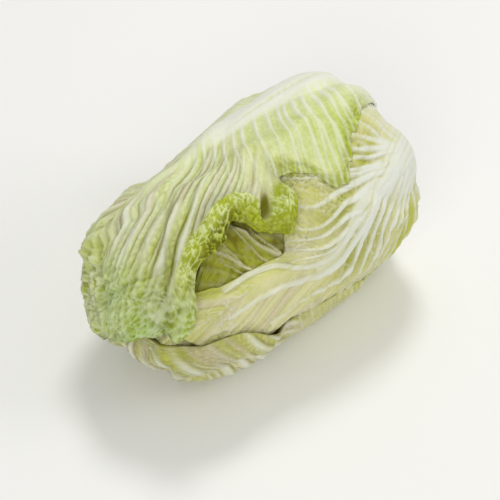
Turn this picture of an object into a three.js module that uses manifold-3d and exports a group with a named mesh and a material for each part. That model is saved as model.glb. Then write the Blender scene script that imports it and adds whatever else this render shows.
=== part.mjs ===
// Napa cabbage: one trimmed head lying on its side, in millimetres.
// +X runs along the head from the leaf tips to the cut butt, +Z is up, and the head rests on z = 0.
//
// The head is a dense heart of inner leaves, eight wrapper leaves laid round it in a spiral, and the cut stem
// that they all grow from. Every surface is a height above one barrel-shaped core, looked at from the head's
// middle. A leaf's inside lies on the sum of what the leaves under it hold up, and its outside adds its own
// blade, midrib and veins.
import * as THREE from "three";
import * as BufferGeometryUtils from "three/addons/utils/BufferGeometryUtils.js";
import Module from "manifold-3d";

const wasm = await Module();
wasm.setup();

// ---- Driving dimensions -------------------------------------------------------------------------------

// Barrels, as the distance from the middle to each end, the radius, how blunt each end is (2 is an ellipse)
// and how much wider it is towards the butt. The grown head sets how far along and round a thing is, and the
// core is what the leaves lie on.
const HEAD = { tip: 102, butt: 108, radius: 64.5, tipPower: 3, buttPower: 4.3, flare: 0.05 };
const CORE = { tip: 88.5, butt: 96, radius: 48.3, tipPower: 3, buttPower: 6.4, flare: 0.21 };
const BELLY = 0.95; // share of the radius left under the head, where it lies on its side
const HOLLOW = { along: 190, round: 133, depth: 8, length: 30, width: 20 }; // a slack place among the leaves

const STEM_RADIUS = 21;
const CUT_X = 109; // the knife's plane across the stem and the leaf bases
const REST_Z = -60; // the plane that the head lies on, below its axis
const CLEARANCE = 0.5; // between the stem and what it stands on
const SWELL = 1.006; // about the head's middle, which moves a leaf's face out by 0.4 to 0.6 mm

const LEAF_GAP = 1.1; // least air between one leaf and the next
const TIP_GAP = 2.4; // and round the head's tip, where they lie looser
const BLADE_THICKNESS = 1;
const TIP_LENGTH = 45; // the last stretch of a blade, where its margins close in a round tip
const TIP_CUT = 4; // the last vein line stays this far short of the tip
const PLEAT_DEPTH = 2;
const FRILL_HEIGHT = 8;
const FRILL_WIDTH = 12;
const HELD = 4; // how far past a margin the next leaf is still held up in full
const DRAPE = 18; // how far past a margin the next leaf takes to come down on what lies below
const PETIOLE_START = 28; // along the leaf, from the head's axis
const BLADE_START = 46;
const VEIN_SPACING = 12;
const VEIN_SPREAD = 150; // the distance out at which a vein would run straight across the leaf
const HEAD_GIRTH = 62; // radius that turns an angle round the head into mm across a leaf
const HEART_RELIEF = 3.2; // how far the heart's own leaves stand out

// By mm along a leaf's midrib.
const MIDRIB_HALF_WIDTH = [[28, 21], [60, 20], [110, 13], [180, 6], [270, 2]];
const MIDRIB_HEIGHT = [[28, 4.6], [60, 4.6], [120, 3.2], [190, 1.5], [270, 0.3]];
const VEIN_LEAN = [[40, 0], [90, 0.8], [150, 1.3], [168, 1.4], [270, 0.3]];
// By mm out from the midrib's edge.
const VEIN_HEIGHT = [[0, 0], [10, 1.1], [40, 0.8], [100, 0.4]];

// A leaf's blade on a plain side: [mm along, degrees round the head from the midrib].
const PLAIN_SIDE = [[34, 36], [70, 58], [110, 82], [160, 92], [235, 92]];

// The wrapper leaves, outermost first. bend is the midrib's place round the head, in degrees from +Y towards
// +Z, by mm along. left and right are the blade's margins, towards smaller and larger angles. length is the
// midrib's, foldOver is how far past the head's tip its end is drawn over, in degrees, pleat is how deeply
// its end is folded, calm is how near the midrib its margins come, and rows and columns set its facets.
const WRAPPERS = [
  {
    bend: [[28, 72], [60, 66], [150, 54], [270, 48]],
    left: [[34, 36], [70, 60], [110, 88], [160, 100], [235, 100]],
    right: [
      [34, 34], [63, 41], [82, 52], [95, 65], [104, 75], [111, 76], [122, 63], [134, 58], [146, 58],
      [161, 80], [167, 84], [176, 77], [186, 62], [200, 59], [218, 62], [245, 74],
    ],
    length: 268,
    foldOver: 20,
    pleat: 1,
    calm: 50,
    rows: 6,
    columns: [8, 12],
    frill: [
      [146, 68], [154, 71], [162, 74], [166, 73], [169, 65], [174, 55], [180, 52], [192, 51], [206, 50],
      [220, 53], [238, 62],
    ],
    pocket: { along: 165.5, side: 66, lean: 50, length: 8, width: 3.6, depth: 9 },
  },
  {
    bend: [[28, 280], [60, 276], [270, 274]],
    left: [[34, 36], [70, 52], [110, 64], [160, 70], [235, 74]],
    right: PLAIN_SIDE,
    length: 262,
    foldOver: 20,
    pleat: 0.5,
    rows: 8,
    columns: [7, 9],
  },
  {
    bend: [[28, 140], [60, 143], [85, 148], [110, 156], [140, 161], [168, 158], [192, 152], [270, 146]],
    left: [[34, 34], [60, 46], [140, 52], [158, 24], [172, 8], [192, 8], [240, 20]],
    right: [[34, 32], [63, 29], [75, 38], [88, 56], [108, 72], [150, 76], [235, 78]],
    length: 258,
    foldOver: 20,
    pleat: 0.8,
    rows: 6,
    columns: [8, 8],
  },
  { bend: [[28, 12]], left: PLAIN_SIDE, right: PLAIN_SIDE, length: 256 },
  {
    bend: [[28, 235]],
    left: [[34, 36], [70, 58], [110, 84], [165, 106], [230, 98]],
    right: PLAIN_SIDE,
    length: 252,
  },
  { bend: [[28, 97]], left: PLAIN_SIDE, right: PLAIN_SIDE, length: 248 },
  { bend: [[28, 320]], left: PLAIN_SIDE, right: PLAIN_SIDE, length: 244 },
  { bend: [[28, 182]], left: PLAIN_SIDE, right: PLAIN_SIDE, length: 240 },
];
const INNER_LEAF = { foldOver: 14, pleat: 0.3, rows: 11, columns: [8, 8] }; // for what the list leaves out

// The heart's own leaves go on in the same spiral, each this much further round and this much shorter.
const HEART_LEAVES = { count: 5, first: 45, turn: -137.5, length: 236, shorter: 6 };

const GREEN_WHITE = "#e4e9c9";
const PALE_YELLOW = "#e9eabf";
const LEAF_GREEN = "#c7d47c";

// ---- Small helpers ------------------------------------------------------------------------------------

const { clamp, degToRad, lerp, radToDeg } = THREE.MathUtils;

function smooth(from, to, x) {
  const t = clamp((x - from) / (to - from), 0, 1);
  return t * t * (3 - 2 * t);
}

// The value at x of a smooth line through [x, value] points.
function through(points, x) {
  if (x <= points[0][0]) return points[0][1];
  for (let i = 1; i < points.length; i++) {
    const [x0, y0] = points[i - 1];
    const [x1, y1] = points[i];
    if (x <= x1) return lerp(y0, y1, smooth(x0, x1, x));
  }
  return points[points.length - 1][1];
}

// ---- The barrels --------------------------------------------------------------------------------------

// The point on a barrel in a direction from the middle, in the plane of the axis, with its normal.
function onBarrel(barrel, x, across, squash) {
  const butt = x > 0;
  const length = butt ? barrel.butt : barrel.tip;
  const power = butt ? barrel.buttPower : barrel.tipPower;
  const radius = barrel.radius * (1 + barrel.flare * x) * squash;
  const along = Math.abs(x) / length;
  const out = across / radius;
  const reach = (along ** power + out ** power) ** (-1 / power);
  const slopeX = (Math.sign(x) * along ** (power - 1)) / length;
  const slopeOut = out ** (power - 1) / radius;
  const slope = Math.hypot(slopeX, slopeOut);
  return { x: x * reach, radius: across * reach, normalX: slopeX / slope, normalOut: slopeOut / slope };
}

// The point a given height above the core, in a direction from the head's middle.
function above(direction, height) {
  const across = Math.max(Math.hypot(direction.y, direction.z), 1e-9);
  const down = Math.max(-direction.z / across, 0);
  const squash = (1 + (down / BELLY) ** 10) ** (-1 / 10);
  const at = onBarrel(CORE, direction.x, across, squash);
  const out = (at.radius + at.normalOut * height) / across;
  return new THREE.Vector3(at.x + at.normalX * height, out * direction.y, out * direction.z);
}

// The grown head's profile at each degree from the butt's pole: how far along it is, and its radius.
const PROFILE = [];
for (let degree = 0; degree <= 180; degree++) {
  const at = onBarrel(HEAD, Math.cos(degToRad(degree)), Math.sin(degToRad(degree)), 1);
  const last = PROFILE[degree - 1];
  at.along = last ? last.along + Math.hypot(at.x - last.x, at.radius - last.radius) : 0;
  PROFILE.push(at);
}

function profileAt(polar) {
  const degree = clamp(radToDeg(polar), 0, 179.999);
  const i = Math.floor(degree);
  const a = PROFILE[i];
  const b = PROFILE[i + 1];
  return { along: lerp(a.along, b.along, degree - i), radius: lerp(a.radius, b.radius, degree - i) };
}

function polarAt(along) {
  let i = 0;
  while (i < 179 && PROFILE[i + 1].along < along) i++;
  const a = PROFILE[i];
  const b = PROFILE[i + 1];
  return degToRad(i + clamp((along - a.along) / (b.along - a.along), 0, 1));
}

// ---- Where a point is on a leaf -----------------------------------------------------------------------
// along is mm from the butt's pole, foot is the along at which the vein through the point leaves the midrib,
// and side is the angle round the head from the midrib, positive to the right.

function makeLeaf(values) {
  const angle = degToRad(values.bend[0][1]);
  return {
    ...INNER_LEAF,
    ...values,
    outward: new THREE.Vector3(0, Math.cos(angle), Math.sin(angle)),
    across: new THREE.Vector3(0, -Math.sin(angle), Math.cos(angle)),
  };
}

// Towards the tips a leaf is turned about its own cross axis, so that it closes past the head's tip.
function fold(leaf, x) {
  return degToRad(leaf.foldOver) * smooth(-0.1, -0.95, x);
}

function midribRound(leaf, along) {
  return degToRad(through(leaf.bend, along) - leaf.bend[0][1]);
}

function veinReach(side) {
  const across = Math.min(Math.abs(side) * HEAD_GIRTH, VEIN_SPREAD);
  return across * (1 - across / (2 * VEIN_SPREAD));
}

function alongVein(foot, side) {
  return foot + through(VEIN_LEAN, foot) * veinReach(side);
}

function footOfVein(along, side) {
  let low = 0;
  let high = along;
  for (let pass = 0; pass < 18; pass++) {
    const middle = (low + high) / 2;
    if (alongVein(middle, side) < along) low = middle;
    else high = middle;
  }
  return (low + high) / 2;
}

function placeOnLeaf(leaf, direction) {
  const local = direction.clone().applyAxisAngle(leaf.across, -fold(leaf, direction.x));
  const at = profileAt(Math.acos(clamp(local.x, -1, 1)));
  const round = Math.atan2(local.dot(leaf.across), local.dot(leaf.outward)) - midribRound(leaf, at.along);
  const side = Math.atan2(Math.sin(round), Math.cos(round));
  return { along: at.along, radius: at.radius, side, foot: footOfVein(at.along, side) };
}

function directionOnLeaf(leaf, along, side) {
  const polar = polarAt(along);
  const round = side + midribRound(leaf, along);
  const local = new THREE.Vector3(Math.cos(polar), 0, 0)
    .addScaledVector(leaf.outward, Math.sin(polar) * Math.cos(round))
    .addScaledVector(leaf.across, Math.sin(polar) * Math.sin(round));
  let direction = local;
  for (let pass = 0; pass < 12; pass++) {
    direction = local.clone().applyAxisAngle(leaf.across, fold(leaf, direction.x));
  }
  return direction;
}

// The angle from the midrib to a margin, which closes in a round tip.
function margin(leaf, along, side) {
  const blade = degToRad(through(side < 0 ? leaf.left : leaf.right, along));
  const close = clamp((along - leaf.length + TIP_LENGTH) / TIP_LENGTH, 0, 1);
  return blade * Math.sqrt(1 - close ** 2.5);
}

// ---- What a leaf is made of ---------------------------------------------------------------------------

function midrib(place, spare) {
  const halfWidth = through(MIDRIB_HALF_WIDTH, place.foot) + spare;
  const t = clamp((Math.abs(place.side) * place.radius) / halfWidth, 0, 1);
  return through(MIDRIB_HEIGHT, place.foot) * (1 - t * t) ** 1.5;
}

function veins(leaf, place) {
  const out = Math.abs(place.side) * HEAD_GIRTH - through(MIDRIB_HALF_WIDTH, place.foot) * 0.7;
  const begun = smooth(BLADE_START, BLADE_START + 10, place.foot);
  const ridge = 0.5 + 0.5 * Math.cos((2 * Math.PI * (place.foot - BLADE_START)) / VEIN_SPACING);
  return through(VEIN_HEIGHT, out) * begun * ridge;
}

// Towards the tips the blade between the veins is drawn into long folds, deepest on the outermost leaves.
function pleats(leaf, place) {
  const out = Math.abs(place.side) * HEAD_GIRTH;
  const ridge = 0.5 + 0.5 * Math.cos((Math.PI * (place.foot - BLADE_START)) / VEIN_SPACING);
  return leaf.pleat * PLEAT_DEPTH * smooth(130, 200, place.along) * smooth(6, 24, out) * ridge;
}

// How far [along, across] is from a line through points, in mm.
function distanceToLine(points, along, across) {
  let nearest = Infinity;
  for (let i = 1; i < points.length; i++) {
    const [x0, y0] = points[i - 1];
    const [x1, y1] = points[i];
    const stretch = (x1 - x0) ** 2 + (y1 - y0) ** 2;
    const t = clamp(((along - x0) * (x1 - x0) + (across - y0) * (y1 - y0)) / stretch, 0, 1);
    nearest = Math.min(nearest, Math.hypot(along - lerp(x0, x1, t), across - lerp(y0, y1, t)));
  }
  return nearest;
}

// A ruffled margin stands up in a ridge, falls again to its edge, and has a deep pocket behind it.
function ruffle(leaf, place) {
  if (!leaf.frill || place.side < 0) return 0;
  const across = place.side * HEAD_GIRTH;
  const line = leaf.frill.map(([along, degrees]) => [along, degToRad(degrees) * HEAD_GIRTH]);
  const away = distanceToLine(line, place.along, across);
  const outside = across > through(line, place.along);
  const rising = Math.exp(-2 * (away / FRILL_WIDTH) ** 2);
  const falling = 1 - 0.85 * smooth(0, FRILL_WIDTH, away);
  const slope = outside ? falling : rising;
  const [start, end] = [line[0][0], line[line.length - 1][0]];
  const ends = smooth(start - 6, start + 4, place.along) * (1 - 0.7 * smooth(end - 30, end, place.along));
  const { along, side, lean, length, width, depth } = leaf.pocket;
  const offset = new THREE.Vector2(place.along - along, across - degToRad(side) * HEAD_GIRTH);
  offset.rotateAround(new THREE.Vector2(), -degToRad(lean));
  const pocket = depth * Math.exp(-((offset.x / length) ** 2) - (offset.y / width) ** 2);
  return Math.max(FRILL_HEIGHT * slope * ends - pocket, 0);
}

// A leaf's share in holding up what lies on it: whole on the leaf, and none past the drape.
function cover(leaf, direction) {
  const place = placeOnLeaf(leaf, direction);
  const beyondMargin = Math.abs(place.side) - margin(leaf, place.along, place.side);
  const beyondSide = beyondMargin * Math.max(place.radius, 10);
  const beyondTip = place.along - leaf.length;
  const share = (1 - smooth(HELD, DRAPE, beyondSide)) * (1 - smooth(HELD, DRAPE, beyondTip));
  const folds = leaf.pleat * PLEAT_DEPTH * smooth(110, 180, place.along);
  const gap = lerp(LEAF_GAP, TIP_GAP, smooth(-0.2, -0.7, direction.x));
  return { share, height: gap + BLADE_THICKNESS + VEIN_HEIGHT[1][1] + folds + midrib(place, 10) };
}

// The slack place among the leaves sinks everything over it a little.
function settle(direction) {
  const { along } = profileAt(Math.acos(clamp(direction.x, -1, 1)));
  const round = Math.atan2(direction.z, direction.y) - degToRad(HOLLOW.round);
  const turned = Math.atan2(Math.sin(round), Math.cos(round)) * HEAD_GIRTH;
  const away = ((along - HOLLOW.along) / HOLLOW.length) ** 2 + (turned / HOLLOW.width) ** 2;
  return -HOLLOW.depth * Math.exp(-away);
}

function heightUnder(index, direction) {
  let height = settle(direction);
  for (const leaf of leaves.slice(index + 1)) {
    const under = cover(leaf, direction);
    height += under.share * under.height;
  }
  return height;
}

// ---- Solids -------------------------------------------------------------------------------------------

// A closed sheet from two grids of points of one size, with each square split the same way on both faces,
// across its shorter diagonal.
function sheet(outside, inside) {
  const rows = outside.length;
  const columns = outside[0].length;
  const points = [...outside.flat(), ...inside.flat()];
  const at = (layer, row, column) => layer * rows * columns + row * columns + column;
  const faces = [];
  for (let row = 0; row < rows - 1; row++) {
    for (let column = 0; column < columns - 1; column++) {
      const corners = [[row, column], [row, column + 1], [row + 1, column + 1], [row + 1, column]];
      const [a, b, c, d] = corners.map(([r, q]) => at(0, r, q));
      const [e, f, g, h] = corners.map(([r, q]) => at(1, r, q));
      const one = outside[row][column].distanceTo(outside[row + 1][column + 1]);
      const other = outside[row][column + 1].distanceTo(outside[row + 1][column]);
      if (one < other) faces.push(a, c, b, a, d, c, e, f, g, e, g, h);
      else faces.push(a, d, b, b, d, c, e, f, h, f, g, h);
    }
  }
  const wall = (row0, column0, row1, column1) => {
    const [a, b] = [at(0, row0, column0), at(0, row1, column1)];
    const [c, d] = [at(1, row0, column0), at(1, row1, column1)];
    faces.push(a, b, c, b, d, c);
  };
  for (let column = 0; column < columns - 1; column++) {
    wall(0, column, 0, column + 1);
    wall(rows - 1, column + 1, rows - 1, column);
  }
  for (let row = 0; row < rows - 1; row++) {
    wall(row + 1, 0, row, 0);
    wall(row, columns - 1, row + 1, columns - 1);
  }
  const geometry = new THREE.BufferGeometry();
  geometry.setAttribute("position", new THREE.Float32BufferAttribute(points.flatMap((p) => p.toArray()), 3));
  geometry.setIndex(faces);
  return geometry;
}

// Where a vein line first leaves the blade, as an angle from the midrib.
function marginOnVein(leaf, foot, hand) {
  const inside = (side) => side < margin(leaf, alongVein(foot, side), hand);
  const step = degToRad(1);
  let side = 0;
  while (inside(side + step)) side += step;
  let reach = step;
  for (let pass = 0; pass < 8; pass++) {
    reach /= 2;
    if (inside(side + reach)) side += reach;
  }
  return side;
}

// On a leaf with a calm middle, most of the columns keep to it and the rest follow the margin in and out.
function sideAt(leaf, share, reach) {
  if (!leaf.calm) return share * reach;
  const calm = Math.min(reach, degToRad(leaf.calm)) * 0.9;
  const inner = 0.6;
  const size = Math.abs(share);
  const side = size < inner ? (size / inner) * calm : lerp(calm, reach, (size - inner) / (1 - inner));
  return Math.sign(share) * side;
}

function wrapperLeaf(index) {
  const leaf = leaves[index];
  const rowCount = Math.round((leaf.length - TIP_CUT - PETIOLE_START) / leaf.rows);
  const [leftCount, rightCount] = leaf.columns;
  const outside = [];
  const inside = [];
  for (let row = 0; row <= rowCount; row++) {
    const foot = lerp(PETIOLE_START, leaf.length - TIP_CUT, row / rowCount);
    const left = marginOnVein(leaf, foot, -1);
    const right = marginOnVein(leaf, foot, 1);
    const outsideRow = [];
    const insideRow = [];
    for (let column = -leftCount; column <= rightCount; column++) {
      const side = sideAt(leaf, column / (column < 0 ? leftCount : rightCount), column < 0 ? left : right);
      const along = alongVein(foot, side);
      const direction = directionOnLeaf(leaf, along, side);
      const place = { along, radius: profileAt(polarAt(along)).radius, side, foot };
      const lift = ruffle(leaf, place);
      const under = heightUnder(index, direction) + lift;
      const own = BLADE_THICKNESS + midrib(place, 0) + veins(leaf, place) + pleats(leaf, place);
      outsideRow.push(above(direction, under + own));
      insideRow.push(above(direction, under));
    }
    outside.push(outsideRow);
    inside.push(insideRow);
  }
  return sheet(outside, inside);
}

// The heart: the core, with the last leaves of the spiral standing out of it.
function heart() {
  const inner = [];
  for (let n = 0; n < HEART_LEAVES.count; n++) {
    const round = HEART_LEAVES.first + n * HEART_LEAVES.turn;
    const length = HEART_LEAVES.length - n * HEART_LEAVES.shorter;
    inner.push(makeLeaf({ bend: [[28, round]], left: PLAIN_SIDE, right: PLAIN_SIDE, length }));
  }
  const heightAt = (direction) => {
    let standing = 0;
    for (const leaf of inner) {
      const place = placeOnLeaf(leaf, direction);
      const beyondSide = (Math.abs(place.side) - margin(leaf, place.along, place.side)) * place.radius;
      const here = 1 - smooth(-1, 3, Math.max(beyondSide, place.along - leaf.length));
      standing += here * (BLADE_THICKNESS + 0.3 * midrib(place, 0) + 0.5 * veins(leaf, place));
    }
    const relief = HEART_RELIEF * Math.exp(-standing / HEART_RELIEF);
    return settle(direction) - LEAF_GAP - relief;
  };
  const ball = new THREE.SphereGeometry(1, 30, 24).rotateZ(Math.PI / 2);
  ball.deleteAttribute("normal");
  ball.deleteAttribute("uv");
  const geometry = BufferGeometryUtils.mergeVertices(ball, 1e-5);
  const position = geometry.getAttribute("position");
  for (let i = 0; i < position.count; i++) {
    const direction = new THREE.Vector3().fromBufferAttribute(position, i).normalize();
    position.setXYZ(i, ...above(direction, heightAt(direction)).toArray());
  }
  return geometry;
}

function stem() {
  const start = CORE.butt + CLEARANCE;
  const bevel = 1;
  const side = [[STEM_RADIUS, start], [STEM_RADIUS, CUT_X - bevel], [STEM_RADIUS - bevel, CUT_X]];
  const points = [[0, start], ...side, [0, CUT_X]].map(([radius, x]) => new THREE.Vector2(radius, x));
  return new THREE.LatheGeometry(points, 32).rotateZ(-Math.PI / 2);
}

function toSolid(geometry) {
  const bare = geometry.clone();
  bare.deleteAttribute("normal");
  bare.deleteAttribute("uv");
  const merged = BufferGeometryUtils.mergeVertices(bare, 1e-4);
  const vertProperties = new Float32Array(merged.getAttribute("position").array);
  const triVerts = new Uint32Array(merged.index.array);
  return new wasm.Manifold(new wasm.Mesh({ numProp: 3, vertProperties, triVerts }));
}

function toGeometry(solid) {
  const mesh = solid.getMesh();
  const geometry = new THREE.BufferGeometry();
  geometry.setAttribute("position", new THREE.BufferAttribute(new Float32Array(mesh.vertProperties), 3));
  geometry.setIndex(new THREE.BufferAttribute(new Uint32Array(mesh.triVerts), 1));
  return geometry;
}

// A leaf is cut off square with the stem, and pressed flat where the head lies on it. Where a flat facet of
// it would bite into a leaf under it, it is hollowed out to clear that leaf.
function trim(geometry, leavesUnder) {
  const side = 400;
  const beyondCut = new THREE.BoxGeometry(side, side, side).translate(CUT_X + side / 2, 0, 0);
  const belowRest = new THREE.BoxGeometry(side, side, side).translate(0, 0, REST_Z - side / 2);
  let solid = toSolid(geometry).subtract(toSolid(beyondCut)).subtract(toSolid(belowRest));
  for (const under of leavesUnder) {
    const swollen = toSolid(under.clone().scale(SWELL, SWELL, SWELL));
    if (solid.intersect(toSolid(under)).volume() > 0) solid = solid.subtract(swollen);
  }
  return toGeometry(solid);
}

// ---- The head -----------------------------------------------------------------------------------------

const leaves = WRAPPERS.map(makeLeaf);

function piece(name, geometry, color, roughness) {
  const material = new THREE.MeshStandardMaterial({ color, roughness, metalness: 0 });
  const mesh = new THREE.Mesh(geometry, material);
  mesh.name = name;
  return mesh;
}

const head = new THREE.Group();
head.add(piece("stem", stem(), GREEN_WHITE, 0.6));
head.add(piece("heart", heart(), PALE_YELLOW, 0.5));
const laid = [];
for (let index = leaves.length - 1; index >= 0; index--) {
  const color = index < 3 ? LEAF_GREEN : PALE_YELLOW;
  const geometry = trim(wrapperLeaf(index), laid);
  laid.push(geometry);
  head.add(piece(`leaf_${index + 1}`, geometry, color, 0.5));
}

// The origin is under the middle of the head, on the surface that it lies on.
const box = new THREE.Box3().setFromObject(head, true);
const middle = box.getCenter(new THREE.Vector3());
head.position.set(-middle.x, -middle.y, -box.min.z);

export default head;
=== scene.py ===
import math

import bpy
import numpy as np
from mathutils import Matrix, Vector


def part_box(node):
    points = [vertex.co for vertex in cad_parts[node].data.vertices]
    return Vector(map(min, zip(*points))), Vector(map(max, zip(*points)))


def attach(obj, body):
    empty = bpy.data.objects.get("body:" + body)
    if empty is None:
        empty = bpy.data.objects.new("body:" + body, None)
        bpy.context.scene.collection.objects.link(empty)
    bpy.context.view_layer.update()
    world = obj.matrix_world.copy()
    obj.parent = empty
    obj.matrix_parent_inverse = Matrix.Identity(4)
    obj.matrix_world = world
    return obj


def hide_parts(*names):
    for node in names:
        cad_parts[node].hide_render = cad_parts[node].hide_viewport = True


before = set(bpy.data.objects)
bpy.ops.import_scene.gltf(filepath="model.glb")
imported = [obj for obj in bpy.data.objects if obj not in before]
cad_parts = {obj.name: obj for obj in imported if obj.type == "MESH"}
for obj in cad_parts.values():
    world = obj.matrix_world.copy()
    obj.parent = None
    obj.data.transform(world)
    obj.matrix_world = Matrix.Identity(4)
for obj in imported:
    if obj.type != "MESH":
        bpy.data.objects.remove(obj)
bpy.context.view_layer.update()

# ---- The room ----
# The head lies on a smooth pale table in soft studio light. The camera looks down on it from the front left,
# where its leaf tips are, through a long lens, so that it keeps nearly the same scale from end to end.
# AXIS is the head's middle, in mm.

MM = 0.001
STEM_LOW, STEM_HIGH = (np.array(corner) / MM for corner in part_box("stem"))
CUT_X = 109.0  # the knife's plane across the stem and the leaf bases
STEM_MIDDLE = (STEM_LOW + STEM_HIGH) / 2
AXIS = np.array([STEM_HIGH[0] - CUT_X, STEM_MIDDLE[1], STEM_MIDDLE[2]])


def table_top():
    mesh = bpy.data.meshes.new("table_top")
    side = 6.0
    corners = [(-side, -side, 0), (side, -side, 0), (side, side, 0), (-side, side, 0)]
    mesh.from_pydata(corners, [], [(0, 1, 2, 3)])
    table = bpy.data.objects.new("table_top", mesh)
    bpy.context.collection.objects.link(table)
    material = bpy.data.materials.new("pale_table")
    material.use_nodes = True
    shader = material.node_tree.nodes["Principled BSDF"]
    shader.inputs["Base Color"].default_value = (0.93, 0.93, 0.92, 1)
    shader.inputs["Roughness"].default_value = 0.6
    mesh.materials.append(material)


def look_from(azimuth, elevation, roll, distance, aim_right, aim_up, lens):
    a, e = math.radians(azimuth), math.radians(elevation)
    back = Vector((math.sin(a) * math.cos(e), -math.cos(a) * math.cos(e), math.sin(e)))
    level = Vector((math.cos(a), math.sin(a), 0))
    right = Matrix.Rotation(math.radians(roll), 3, back) @ level
    up = back.cross(right)
    aim = Vector(AXIS * MM) + right * aim_right + up * aim_up
    data = bpy.data.cameras.new("camera")
    data.sensor_width = 36
    data.lens = lens
    data.clip_end = 30
    camera = bpy.data.objects.new("camera", data)
    place = aim + back * distance
    camera.matrix_world = Matrix((
        (right.x, up.x, back.x, place.x), (right.y, up.y, back.y, place.y),
        (right.z, up.z, back.z, place.z), (0, 0, 0, 1),
    ))
    bpy.context.collection.objects.link(camera)
    bpy.context.scene.camera = camera


def soft_light(name, place, size, power, color):
    data = bpy.data.lights.new(name, "AREA")
    data.shape = "DISK"
    data.size = size
    data.energy = power
    data.color = color
    light = bpy.data.objects.new(name, data)
    light.location = place
    light.rotation_euler = (-Vector(place)).to_track_quat("-Z", "Y").to_euler()
    bpy.context.collection.objects.link(light)


def studio():
    world = bpy.data.worlds.new("studio")
    world.use_nodes = True
    background = world.node_tree.nodes["Background"]
    background.inputs["Color"].default_value = (1.0, 0.995, 0.98, 1)
    background.inputs["Strength"].default_value = 0.5
    bpy.context.scene.world = world
    soft_light("key_light", place=(0.5, 0.35, 1.3), size=0.4, power=6.3, color=(1.0, 0.99, 0.96))
    soft_light("fill_light", place=(-1.1, -0.8, 0.9), size=0.8, power=6.2, color=(1.0, 0.99, 0.97))
    soft_light("front_light", place=(0.9, -1.1, 0.9), size=0.7, power=4.2, color=(1.0, 0.99, 0.97))
    bpy.context.scene.view_settings.view_transform = "Standard"


table_top()
studio()
look_from(
    azimuth=-43.4, elevation=45.3, roll=-2.4, distance=1.3, aim_right=0.0052, aim_up=-0.0073, lens=158.7,
)

# ---- The heart ----
# The young leaves at the middle of the head, packed too tightly to part. They grow from the stem in a spiral
# and lie flat on each other, so the heart is one dense barrel on which the last few of them stand out.
# Lengths are in mm, from the head's middle, and X runs from the leaf tips (-) to the cut stem (+).

HEAD = {"tip": 102, "butt": 108, "radius": 64.5, "tip_power": 3, "butt_power": 4.3, "flare": 0.05}
CORE = {"tip": 88.5, "butt": 96, "radius": 48.3, "tip_power": 3, "butt_power": 6.4, "flare": 0.21}
BELLY = 0.95  # the share of the radius left under the head, where it lies on its side
GIRTH = 62  # turns an angle round the head into mm across a leaf
BLADE = 1.0
LEAF_GAP = 1.1
LEAF_START = 28
BLADE_START = 46
TIP_LENGTH = 45  # of the last stretch of a blade, where its margins close in a round tip
VEIN_SPREAD = 150  # mm out, where a vein would run straight across the leaf
VEIN_SPACING = [(46, 4.6), (78, 5.2), (100, 8.5), (235, 10)]
VEIN_LEAN = [(40, 0), (90, 0.8), (150, 1.3), (168, 1.4), (270, 0.3)]
MIDRIB_HALF_WIDTH = [(28, 21), (60, 20), (110, 13), (180, 6), (270, 2)]
MIDRIB_HEIGHT = [(28, 4.6), (60, 4.6), (120, 3.2), (190, 1.5), (270, 0.3)]
VEIN_HEIGHT = [(0, 0), (10, 1.1), (40, 0.8), (100, 0.4)]
PLAIN_SIDE = [(34, 36), (70, 58), (110, 82), (160, 92), (235, 92)]
HOLLOW = {"along": 190, "round": 133, "depth": 8, "length": 30, "width": 20}
HEART_RELIEF = 3.2
SPIRAL = -137.5  # degrees round the head from each leaf to the next one in


def smooth(start, end, x):
    t = np.clip((x - start) / (end - start), 0, 1)
    return t * t * (3 - 2 * t)


def through(points, x):
    """The value at x of a smooth line through (x, value) points."""
    x = np.asarray(x, float)
    value = np.full(x.shape, float(points[0][1]))
    for (x0, y0), (x1, y1) in zip(points, points[1:]):
        value = np.where(x > x0, y0 + (y1 - y0) * smooth(x0, x1, x), value)
    return value


def scatter(i, j, seed):
    """A settled random number from 0 to 1 for each pair of whole numbers."""
    i, j = np.asarray(i, np.int64), np.asarray(j, np.int64)
    n = (i * 374761393 + j * 668265263 + seed * 144269504) & 0xFFFFFFFF
    n = ((n ^ (n >> 13)) * 1274126177) & 0xFFFFFFFF
    return ((n ^ (n >> 16)) & 0xFFFF) / 65535.0


def wander(x, y, seed):
    """Smooth noise from -1 to 1 that changes over about one unit of x and y."""
    i, j = np.floor(x), np.floor(y)
    u, v = smooth(0, 1, x - i), smooth(0, 1, y - j)
    low = scatter(i, j, seed) * (1 - u) + scatter(i + 1, j, seed) * u
    high = scatter(i, j + 1, seed) * (1 - u) + scatter(i + 1, j + 1, seed) * u
    return 2 * (low * (1 - v) + high * v) - 1


def blisters(x, y, seed):
    """Round swellings, 1 in the middle of each and 0 in the creases between them, about one unit apart."""
    nearest = np.full(x.shape, 9.0)
    second = np.full(x.shape, 9.0)
    for di in (-1, 0, 1):
        for dj in (-1, 0, 1):
            i, j = np.floor(x) + di, np.floor(y) + dj
            away = np.hypot(i + scatter(i, j, seed) - x, j + scatter(i, j, seed + 1) - y)
            second = np.minimum(second, np.maximum(nearest, away))
            nearest = np.minimum(nearest, away)
    return smooth(0, 0.55, second - nearest)


def on_barrel(barrel, x, across, squash=1.0):
    """Where a ray from the middle meets a barrel, and the normal there, each as x and out."""
    length = np.where(x > 0, barrel["butt"], barrel["tip"])
    power = np.where(x > 0, barrel["butt_power"], barrel["tip_power"])
    radius = barrel["radius"] * (1 + barrel["flare"] * x) * squash
    along, out = np.abs(x) / length, across / radius
    reach = (along**power + out**power) ** (-1 / power)
    slope_x = np.sign(x) * along ** (power - 1) / length
    slope_out = out ** (power - 1) / radius
    slope = np.hypot(slope_x, slope_out)
    return x * reach, across * reach, slope_x / slope, slope_out / slope


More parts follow.
